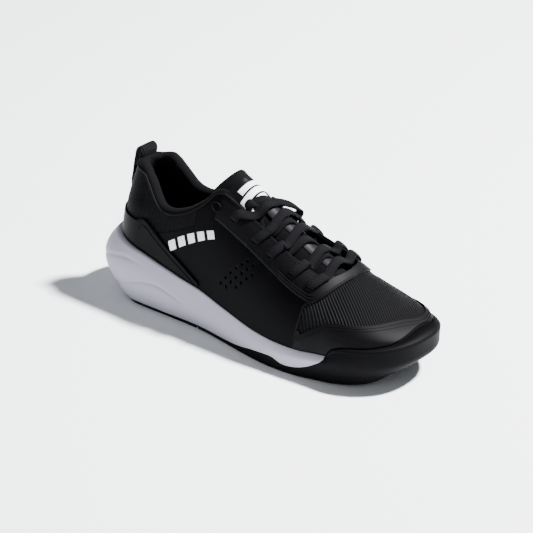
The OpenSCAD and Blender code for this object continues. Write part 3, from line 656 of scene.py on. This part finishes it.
def build_outsole_forefoot():
    t = np.linspace(124.6, 2 * END - 124.6, 261)
    s = side_run(t)[1]
    zb = low_z(s) + 3.2
    zt = np.maximum(spline(BUMPER_Z, s), zb + 0.6)
    zm = spline(TOP_Z, s) + 0.4
    front = s > 257
    inner = []
    for k in range(3):
        z = zt + (zm - zt) * k / 2
        a = up(t, v_at(t, z), 0.35)
        b = wall(t, zt + (zb - zt) * k / 6, -2.4)
        inner.append(np.where(front[:, None], a, b))
    for k in range(3, 7):
        a = wall(t, zm + (zb - zm) * (k - 3) / 3, -2.4)
        b = wall(t, zt + (zb - zt) * k / 6, -2.4)
        inner.append(np.where(front[:, None], a, b))
    inner.append(wall(t, zb, -6.4))
    outer = []
    for k in np.linspace(0, 1, 34):
        z = zt - 0.4 + (zb - zt + 0.4) * k
        dip = np.exp(-((z - zb - 4.5) / 0.9)**2) * np.clip((s - 262) / 15, 0, 1)
        outer.append(wall(t, z, -0.9 * dip))
    outer[0] = outer[0] * 0.8 + inner[0] * 0.2 + np.array([0, 0, 0.35])
    outer.append(in_plane(t, spline(LOW_F, s) + 0.6, low_z(s) + 1.0))
    outer.append(in_plane(t, spline(LOW_F, s), low_z(s)))
    return shell("outsole_rubber_front", np.stack(inner, 1), np.stack(outer, 1), RUBBER, "black_rubber",
                 ["outsole_forefoot"], cap=True, bevel=0)


build_midsole()
build_outsole_forefoot()


# ---------------------------------------------------------------- upper
def slant(t, v, start, reach):
    """Moves the seam between quarter and toe mesh forwards towards the throat."""
    sy, s = side_run(t)
    k = np.clip((v - 0.45) / 0.4, 0, 1) * np.clip(1 - np.abs(s - start) / reach, 0, 1) * 12
    return np.where(sy < 0, t + k, t - k)


def build_toe_mesh():
    t = np.linspace(228.2, 2 * END - 228.2, 161)
    v = 0.02 + 0.964 * np.linspace(0, 1, 40)
    T, V = np.meshgrid(t, v, indexing="ij")
    T = slant(T, V, 229, 40)
    return shell("toe_mesh_knit", up(T, V, 0.0), up(T, V, -1.0), TOE_KNIT, "black_mesh", ["toe_mesh"], cap=True)


GUARD_TOP = [(226, 0.11), (229, 0.2), (232, 0.18), (242, 0.283), (254, 0.4), (275, 0.47), (302, 0.545), (318, 0.547),
             (332, 0.5), (360, 0.4), (393, 0.3), (420, 0.2), (430, 0.11)]


def build_toe_guard():
    t = np.linspace(227, 2 * END - 227, 201)
    a = show_v(t)
    b = np.maximum(spline(GUARD_TOP, t), a + 0.02)
    A = band(t, a, b, 16, 1.3)
    B = band(t, a, b, 16, 0.3)
    ob = shell("toe_guard_film", A, B, OVERLAY, "overlay", ["toe_guard"], bevel=0.35)
    for side in (1, -1):
        w = along([(227.6, 0.13), (228.4, 0.247), (229.4, 0.413), (233, 0.478)], 40)
        tube("toe_seam_ridge_%d" % (side + 1), up(w[:, 0] * side, w[:, 1], 0.3), 0.85, OVERLAY, "overlay", sides=8,
             flat=0.8, normals=normal(w[:, 0] * side, w[:, 1]))
    for k, off in enumerate((0.03, 0.055)):
        P = up(t, b - off, 1.35)
        stitches("toe_guard_stitch_%d" % k, P, normal(t, b - off), OVERLAY, "overlay", 1.9, 1.2, 0.3)
    return ob


QS = np.concatenate([np.linspace(0.4, 115.8, 60), np.linspace(116.3, 228.6, 76)])


def quarter_grid(sgn, d):
    s = QS if sgn > 0 else QS[::-1]
    b = np.where(s < 116, spline(MESH_LOW, s) - 0.003, rim_v(sgn * s))
    v = 0.02 + (b - 0.02)[:, None] * np.linspace(0, 1, 40)[None, :]
    S = np.repeat(s[:, None], 40, 1)
    return up(sgn * slant(S, v, 228, 40), v, d)


def build_quarters():
    lat = shell("quarter_lateral_panel", quarter_grid(1, 0.1), quarter_grid(1, -1.0), QUARTER, "synthetic",
                ["quarter_lateral"], bevel=0.25)
    shell("quarter_medial_panel", quarter_grid(-1, 0.1), quarter_grid(-1, -1.0), QUARTER, "synthetic",
          ["quarter_medial"], bevel=0.25)
    holes(lat)


def holes(ob):
    """Vent holes punched through the quarter."""
    rows = [((172, 0.455), (148, 0.208), 6), ((178, 0.45), (154, 0.208), 6), ((179, 0.39), (165, 0.247), 4)]
    bm = bmesh.new()
    for (t0, v0), (t1, v1), n in rows:
        for f in np.linspace(0, 1, n):
            t, v = t0 + (t1 - t0) * f, v0 + (v1 - v0) * f
            p, m = up(t, v, -0.4), normal(np.float64(t), np.float64(v))
            q = Vector(m).to_track_quat("Z", "Y").to_matrix().to_4x4()
            bmesh.ops.create_cone(bm, cap_ends=True, segments=14, radius1=1.15 * MM, radius2=1.15 * MM, depth=4 * MM,
                                  matrix=Matrix.Translation(Vector(p) * MM) @ q)
    me = bpy.data.meshes.new("hole_cutter")
    bm.to_mesh(me)
    bm.free()
    cutter = bpy.data.objects.new("hole_cutter", me)
    bpy.context.scene.collection.objects.link(cutter)
    b = ob.modifiers.new("holes", "BOOLEAN")
    b.operation = "DIFFERENCE"
    b.object = cutter
    b.solver = "EXACT"
    bake(ob)
    bpy.data.objects.remove(cutter)


EYE_IN = [(136, 0.725), (150, 0.755), (164, 0.762), (178, 0.75), (192, 0.73), (206, 0.715), (220, 0.715), (230, 0.73),
          (236, 0.78), (239, 0.88), (240, 0.975)]
EYE_OUT = [(134, 0.52), (150, 0.535), (166, 0.535), (182, 0.52), (197, 0.498), (212, 0.47), (224, 0.462),
           (234, 0.48), (241, 0.6), (245, 0.8), (247, 0.975)]


# Distances of the eyelets from the heel, lateral then medial (negative); the first of each carries no lace.
SPARE_EYELET = 134
EYELETS = [SPARE_EYELET, 151, 174, 190, 212, 228, -SPARE_EYELET, -162, -181, -196, -217, -228]
HOLE_V = [(134, 0.598), (151, 0.638), (174, 0.623), (190, 0.608), (212, 0.598), (228, 0.593)]


def flipped(path):
    return [(2 * END - t, v) for t, v in path[::-1]]


def build_eyestay():
    n, m = 90, 14
    f = np.linspace(0, 1, m + 1)[None, :]
    i = np.linspace(0, 1, n + 1)[:, None]
    ease = np.clip(f / 0.6, 0, 1)**2 * (3 - 2 * np.clip(f / 0.6, 0, 1)) * np.clip(i / 0.1, 0, 1)
    front = np.clip((i - 0.55) / 0.2, 0, 1)
    d1 = 0.11 + 1.29 * np.maximum(ease, front * np.clip(f / 0.06, 0, 1))
    out_in, in_out = flipped(EYE_OUT), flipped(EYE_IN)
    both = lambda d, e: np.concatenate([ribbon(EYE_OUT, EYE_IN, n, m, d), ribbon(out_in, in_out, n, m, e)])
    shell("eyestay_film", both(d1, d1[::-1]), both(d1 - 0.9, d1[::-1] - 0.9), OVERLAY, "overlay", ["eyestay"])
    for k, f in enumerate((0.03, 0.13, 0.23)):
        for side, (a, b) in enumerate(((EYE_OUT, EYE_IN), (flipped(EYE_OUT), flipped(EYE_IN)))):
            p, q = along(a, 80), along(b, 80)
            w = (p + (q - p) * f)[34:] if side == 0 else (p + (q - p) * f)[:47]
            tube("eyestay_ridge_%d_%d" % (k, side), up(w[:, 0], w[:, 1], 1.3), 0.42, OVERLAY, "overlay", sides=6,
                 flat=0.7, normals=normal(w[:, 0], w[:, 1]))
    for side, (a, b) in enumerate(((EYE_OUT, EYE_IN), (flipped(EYE_OUT), flipped(EYE_IN)))):
        p, q = along(a, 140), along(b, 140)
        w = (p + (q - p) * 0.93)[8:118]
        stitches("throat_stitch_%d" % side, up(w[:, 0], w[:, 1], 1.42), normal(w[:, 0], w[:, 1]), OVERLAY, "overlay",
                 2.1, 1.4, 0.3)
        edge = (p + (q - p) * 1.0)[2:120]
        tube("throat_edge_%d" % side, up(edge[:, 0], edge[:, 1], 1.2), 0.7, OVERLAY, "overlay", sides=8, flat=0.8,
             normals=normal(edge[:, 0], edge[:, 1]))
    for k, t in enumerate(EYELETS):
        v = float(spline(HOLE_V, abs(t)))
        a = np.linspace(0, 2 * np.pi, 25)
        r = 4.0 if abs(t) == SPARE_EYELET else 3.4
        c, n = up(t, v, 1.45), normal(np.float64(t), np.float64(v))
        e = unit(up(t + 1, v, 0) - up(t - 1, v, 0))
        g = np.cross(n, e)
        P = c + r * (np.cos(a)[:, None] * e + 0.8 * np.sin(a)[:, None] * g)
        tube("eyelet_ring_%d" % k, P, 0.5, OVERLAY, "overlay", sides=8, normals=np.repeat(n[None], 25, 0))
        # A disc of the darkened inner cloth fills each ring where the hole would be: the lining seen through the
        # hole, darkened as painted shade.
        disc = c - 0.35 * n
        round_ = np.cos(a)[:, None] * e + 0.8 * np.sin(a)[:, None] * g
        Q = np.stack([disc + (r - 0.6) * f * round_ for f in (0.05, 1)], 1)
        shell("eyelet_shaded_well_%d" % k, Q + n * 0.3, Q - n * 0.3, INNER_CLOTH_PAINTED_SHADE, "lining")


def build_heel():
    t = np.linspace(-115.9, 115.9, 160)
    s = np.abs(t)
    lo, hi = spline(MESH_LOW, s) - 0.002, rim_v(t)
    shell("heel_mesh_knit", band(t, lo, hi, 24, 0.1), band(t, lo, hi, 24, -1.0), HEEL_KNIT, "black_mesh",
          ["heel_mesh"], bevel=0.25)
    t = np.linspace(-124, 124, 150)
    s = np.abs(t)
    top = spline([(0, 0.226), (56, 0.226), (65, 0.245), (72, 0.235), (88, 0.2), (105, 0.17), (126, 0.13)], s)
    a = show_v(t)
    b = np.maximum(top, a + 0.02)
    shell("heel_counter_film", band(t, a, b, 16, 1.4), band(t, a, b, 16, 0.4), COUNTER, "overlay",
          ["heel_counter_outer"], bevel=0.35)
    for side in (1, -1):
        for k, off in enumerate((0.006, 0.03)):
            w = along([(60, 0.226), (65, 0.247), (76, 0.223), (88, 0.2), (105, 0.17), (124, 0.128)], 60)
            t, v = w[:, 0] * side, w[:, 1] - off
            tube("counter_ridge_%d_%d" % (k, side + 1), up(t, v, 1.45), 0.45, COUNTER, "overlay", sides=6, flat=0.8,
                 normals=normal(t, v))


PAD_TAPER = [(0, 1), (70, 1), (100, 0.7), (125, 0.3), (140, 0.15), (160, 0.1)]
PAD_LOW = [(0, 0.2), (60, 0.18), (90, 0.2), (110, 0.3), (125, 0.45), (140, 0.62), (156, 0.7)]


def build_collar():
    """Padded collar: rolls over the rim from the outer seam and runs down inside."""
    t = np.linspace(-156, 156, 220)
    s = np.abs(t)
    b = rim_v(t)
    rho = (3.6 + 4.9 * spline(PAD_TAPER, s)) / 2
    P, N = up(t, b, 0.0), normal(t, b)
    tau = unit(up(t, b + 0.008, 0.0) - up(t, b - 0.008, 0.0))
    tau = unit(tau - (tau * N).sum(-1, keepdims=True) * N)
    tall = 3.4 + 1.6 * np.exp(-((s - 68) / 9)**2)
    rows = []
    for a in np.radians([-75, -48, -25, -5, 15, 35, 55, 75, 95, 120, 150, 175]):
        rows.append(P + N * (-rho + (rho + 0.3) * np.cos(a))[:, None] + tau * (0.9 + tall * np.sin(a))[:, None])
    low = spline(PAD_LOW, s)
    for f in (0.15, 0.35, 0.6, 0.8, 1.0):
        v = b + (low - b) * f
        d = -2 * rho * (1 - f**3) - 3.3 * f**3 - 0.6 * np.sin(np.pi * f)
        rows.append(up(t, v, d))
    A = np.stack(rows, 1)
    inner = np.stack([A[:, 0] - N * 0.6] + [A[:, k] * 0.97 + (P - N * rho[:, None]) * 0.03 for k in (4, 7, 9)]
                     + [up(t, low, -3.0)], 1)
    pad = shell("collar_padded_lining", A, inner, LINING, "lining", ["collar_lining", "collar_padding"], subdiv=1)
    tube("collar_piping", up(t, b - 0.006, 0.3), 0.75, OVERLAY, "lining", sides=8, normals=N)


def build_heel_strip_and_tab():
    low = up(0.0, np.linspace(0.2, 0.29, 5), 1.0)[:, [0, 2]]
    path = np.concatenate([low, [(-28.4, 94), (-27.0, 98.5), (-25.9, 102.7), (-24.6, 108), (-23.3, 113.5),
                                 (-21.9, 119), (-20, 122), (-17.3, 123), (-14.9, 121.4), (-14.5, 118.5),
                                 (-15.4, 114.5), (-16.2, 108), (-17, 103)]])
    i = np.arange(len(path))
    x = np.linspace(0, len(path) - 1, 90)
    c = np.stack([spline(list(zip(i, path[:, 0])), x), spline(list(zip(i, path[:, 1])), x)], -1)
    tan = unit(np.gradient(c, axis=0))
    nrm = np.stack([-tan[:, 1], tan[:, 0]], -1)
    ys = np.linspace(-8, 8, 13)
    curl = -((ys / 8)**2) * 1.0

    def grid(d):
        lift = np.interp(x, [0, 5, 8, 18], [1.0, 1.0, 0.2, 0.0])
        g = np.zeros((len(x), len(ys), 3))
        off = d + curl[None, :] * lift[:, None] * -1.2 * -1
        g[..., 0] = c[:, None, 0] + nrm[:, None, 0] * off
        g[..., 1] = ys[None, :]
        g[..., 2] = c[:, None, 1] + nrm[:, None, 1] * off
        return g

    ob = shell("heel_webbing_loop", grid(0.9), grid(-0.7), WEBBING, "webbing", ["heel_strip", "pull_tab"], bevel=0.4,
               ride=False)
    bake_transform(ob)


TONGUE_Z = [(76, 127.5), (85, 121.5), (97, 115.5), (105, 110), (115, 103), (137, 91.5), (151, 83), (170, 75),
            (182, 67.5), (190, 62)]
TONGUE_W = [(76, 12), (85, 11), (92, 10), (100, 12), (115, 18), (150, 22), (190, 19)]
TONGUE_D = [(76, 10), (85, 10), (92, 11), (100, 15), (115, 24), (150, 28), (170, 24), (190, 18)]
WING_W = [(76, 18), (85, 17), (92, 16.5), (100, 18), (115, 21), (150, 23), (190, 19)]
WING_D = [(76, 15), (85, 15), (92, 16), (100, 19), (115, 26), (150, 29), (170, 24), (190, 18)]


def tongue(x, q, d, width=TONGUE_W, fall=TONGUE_D):
    """A point on the tongue: x along the shoe, q from -1 to 1 across it, d above it."""
    x, q = np.broadcast_arrays(np.asarray(x, float), np.asarray(q, float))
    w, drop, zc = spline(width, x), spline(fall, x), spline(TONGUE_Z, x)
    sl = (spline(TONGUE_Z, x + 1) - spline(TONGUE_Z, x - 1)) / 2
    n = unit(np.stack([-sl, 2 * drop * q / w, np.ones_like(x)], -1))
    p = np.stack([x - 12 * q * q * np.clip((102 - x) / 26, 0, 1), w * q - 1, zc - drop * q * q], -1)
    return p + n * np.asarray(d, float)[..., None]


def tongue_top(X, Q):
    """How far the padding of the tongue's free top stands up."""
    return 0.9 * np.sin(np.pi * np.clip((X - 76) / 24, 0, 1)) * (1 - Q**2)


def build_tongue():
    x = np.linspace(76, 186, 90)
    q = np.linspace(-1, 1, 37)
    X, Q = np.meshgrid(x, q, indexing="ij")
    edge = 1.4 * np.abs(Q)**6 + 1.6 * np.clip((79 - X) / 3, 0, 1)**2
    thick = 5.4 - 1.6 * np.clip((X - 96) / 14, 0, 1)
    top = tongue(X, Q, tongue_top(X, Q) - edge, WING_W, WING_D)
    bottom = tongue(X, Q, -thick + edge * 0.9, WING_W, WING_D)
    ob = shell("tongue_textile_body", top, bottom, TONGUE, "black_mesh",
               ["tongue_base", "tongue_flap", "tongue_foam", "tongue_lining"], bevel=0.5, ride=False)
    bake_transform(ob)


def patch(name, x0, x1, q0, q1, d0, d1, mat, slot, nodes=(), shear=0.0, n=14, bend=False, **more):
    x = np.linspace(x0, x1, n)
    q = np.linspace(q0, q1, n)
    X, Q = np.meshgrid(x, q, indexing="ij")
    X = X + shear * Q
    base = tongue_top(X, Q)
    top, under_ = (tongue(X, Q, base + d, WING_W, WING_D) for d in (d1, d0))
    ob = shell(name, top, under_, mat, slot, nodes, ride=not bend, **more)
    if bend:
        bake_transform(ob)
    return ob


def build_tongue_trim():
    patch("tongue_label", 83.5, 105.5, -0.88, 0.6, 0.05, 0.55, LABEL, "satin", bend=True, bevel=0.15)
    bars = ((88.5, 92.6, -0.62, 0.34), (94, 98.4, -0.8, 0.4), (99.8, 103.8, -0.72, 0.16))
    for k, (x0, x1, q0, q1) in enumerate(bars):
        patch("tongue_mark_%d" % k, x0, x1, q0, q1, 0.5, 0.8, PRINT, "white_print", shear=1.5, bend=True,
                           bevel=0.1)
    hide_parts("tongue_patch")
    patch("tongue_centre_strip", 121, 172, -0.26, 0.26, 0.05, 0.5, SATIN_PAINTED_SHEEN, "satin", n=24, bevel=0.15)
    patch("lace_keeper_loop", 108, 121, -0.34, 0.32, 0.7, 1.7, SATIN_PAINTED_SHEEN, "satin", ["lace_keeper"], bevel=0.3)


LACE_HALF_WIDTH, LACE_FLATNESS = 3.8, 0.4


def hole(t, d):
    """The centre of an eyelet, d above the upper."""
    return up(t, float(spline(HOLE_V, abs(t))), d)


def bar(a, b):
    """Straight run on top from the lateral eyelet a to the medial eyelet b."""
    va, vb = float(spline(HOLE_V, a)), float(spline(HOLE_V, b))
    x = lambda f: a + 6 + (b - a - 6) * f - 60
    return [hole(a, 1.2), up(a + 2.5, va + 0.05, 3.1), up(a + 5.5, 0.745, 3.0),
            tongue(x(0.33), -0.52, 6.4), tongue(x(0.5), 0, 5.8),
            tongue(x(0.67), 0.52, 6.4), up(-b, 0.745, 3.0), up(-b, vb + 0.05, 3.1), hole(-b, 1.2)]


def under(b, a):
    """Slanting run beneath from the medial eyelet b to the lateral eyelet a."""
    x = lambda f: b + (a - b) * f - 60
    return [hole(-b, -4.2), up(-b, 0.72, -4.0),
            tongue(x(0.3), 0.6, 1.6), tongue(x(0.5), 0, 1.7), tongue(x(0.7), -0.6, 1.6),
            up(a, 0.72, -4.0), hole(a, -4.2)]


def lace_route():
    p = [np.array(q, float) for q in ((122, 14.5, 95.5), (122.5, 17, 99.5), (118, 12, 105), (111, 3, 108.6),
                                      (104, -6, 108.2))]
    p += [tongue(98, -0.75, 3.4), tongue(99, -0.98, 1.6), tongue(104, -0.5, 1.4), tongue(107, 0.3, 1.6)]
    p += [up(-160, 0.76, 2.9), up(-161, 0.69, 3), hole(-162, 1.2), hole(-162, -4.2), up(-162, 0.72, -4.5)]
    p += [tongue(101, 0.5, -1.0), tongue(103, -0.6, -1.0)] + [up(s, 0.66, -6.2) for s in (180, 196, 212)]
    p += [hole(228, -4.5)] + bar(228, 228) + under(228, 212) + bar(212, 217) + under(217, 190) + bar(190, 196)
    p += under(196, 174) + bar(174, 181) + under(181, 151) + [hole(151, 1.2), up(153.5, 0.7, 3.1)]
    p += [tongue(104.5, -0.75, 3.4), tongue(108, -0.25, 3.6), tongue(110, 0.3, 3.6)]
    return np.array(p)


def build_lace():
    k = lace_route()
    i = np.arange(len(k))
    x = np.linspace(0, len(k) - 1, (len(k) - 1) * 8 + 1)
    P = np.stack([spline(list(zip(i, k[:, j])), x) for j in range(3)], -1)
    T = unit(np.gradient(P, axis=0))
    W = np.array([0.92, 0, -0.4]) - (np.array([0.92, 0, -0.4]) * T).sum(-1, keepdims=True) * T
    N = np.cross(unit(W), T)
    tube("shoelace_braid", P, LACE_HALF_WIDTH, LACE_MAT, "lace", ["shoelace"], sides=20, flat=LACE_FLATNESS,
         normals=N, square=0.75)


def build_side_mark():
    """Five plain slanted bars where the shoe carries its side print."""
    c0, c1 = np.array([92.0, 0.205]), np.array([139.0, 0.45])
    for k in range(5):
        f0, f1 = k / 5, (k + 0.68) / 5
        a, b = c0 + (c1 - c0) * f0, c0 + (c1 - c0) * f1
        lo = [a + [1.2, -0.019], b + [1.2, -0.019]]
        hi = [a + [-1.2, 0.019], b + [-1.2, 0.019]]
        shell("side_mark_bar_%d" % k, ribbon(lo, hi, 6, 6, 0.4), ribbon(lo, hi, 6, 6, 0.12), PRINT,
              "white_print", ["side_mark"] if k == 0 else (), bevel=0.08)


build_toe_mesh()
build_toe_guard()
build_quarters()
build_eyestay()
build_heel()
build_collar()
build_heel_strip_and_tab()
build_tongue()
build_tongue_trim()
build_lace()
build_side_mark()

# ---------------------------------------------------------------- carried-over CAD pieces
for name, mat in (("outsole_heel", RUBBER), ("shank_plate", PLATE), ("strobel_board", BOARD), ("sockliner", INNER_CLOTH_PAINTED_SHADE),
                  ("vamp_lining", INNER_CLOTH_PAINTED_SHADE), ("toe_puff", STIFF), ("quarter_lining", INNER_CLOTH_PAINTED_SHADE), ("eyelet_backing", WEBBING),
                  ("heel_stiffener", STIFF), ("aglets", AGLET)):
    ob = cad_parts[name]
    for k in range(len(ob.material_slots)):
        ob.material_slots[k].material = mat
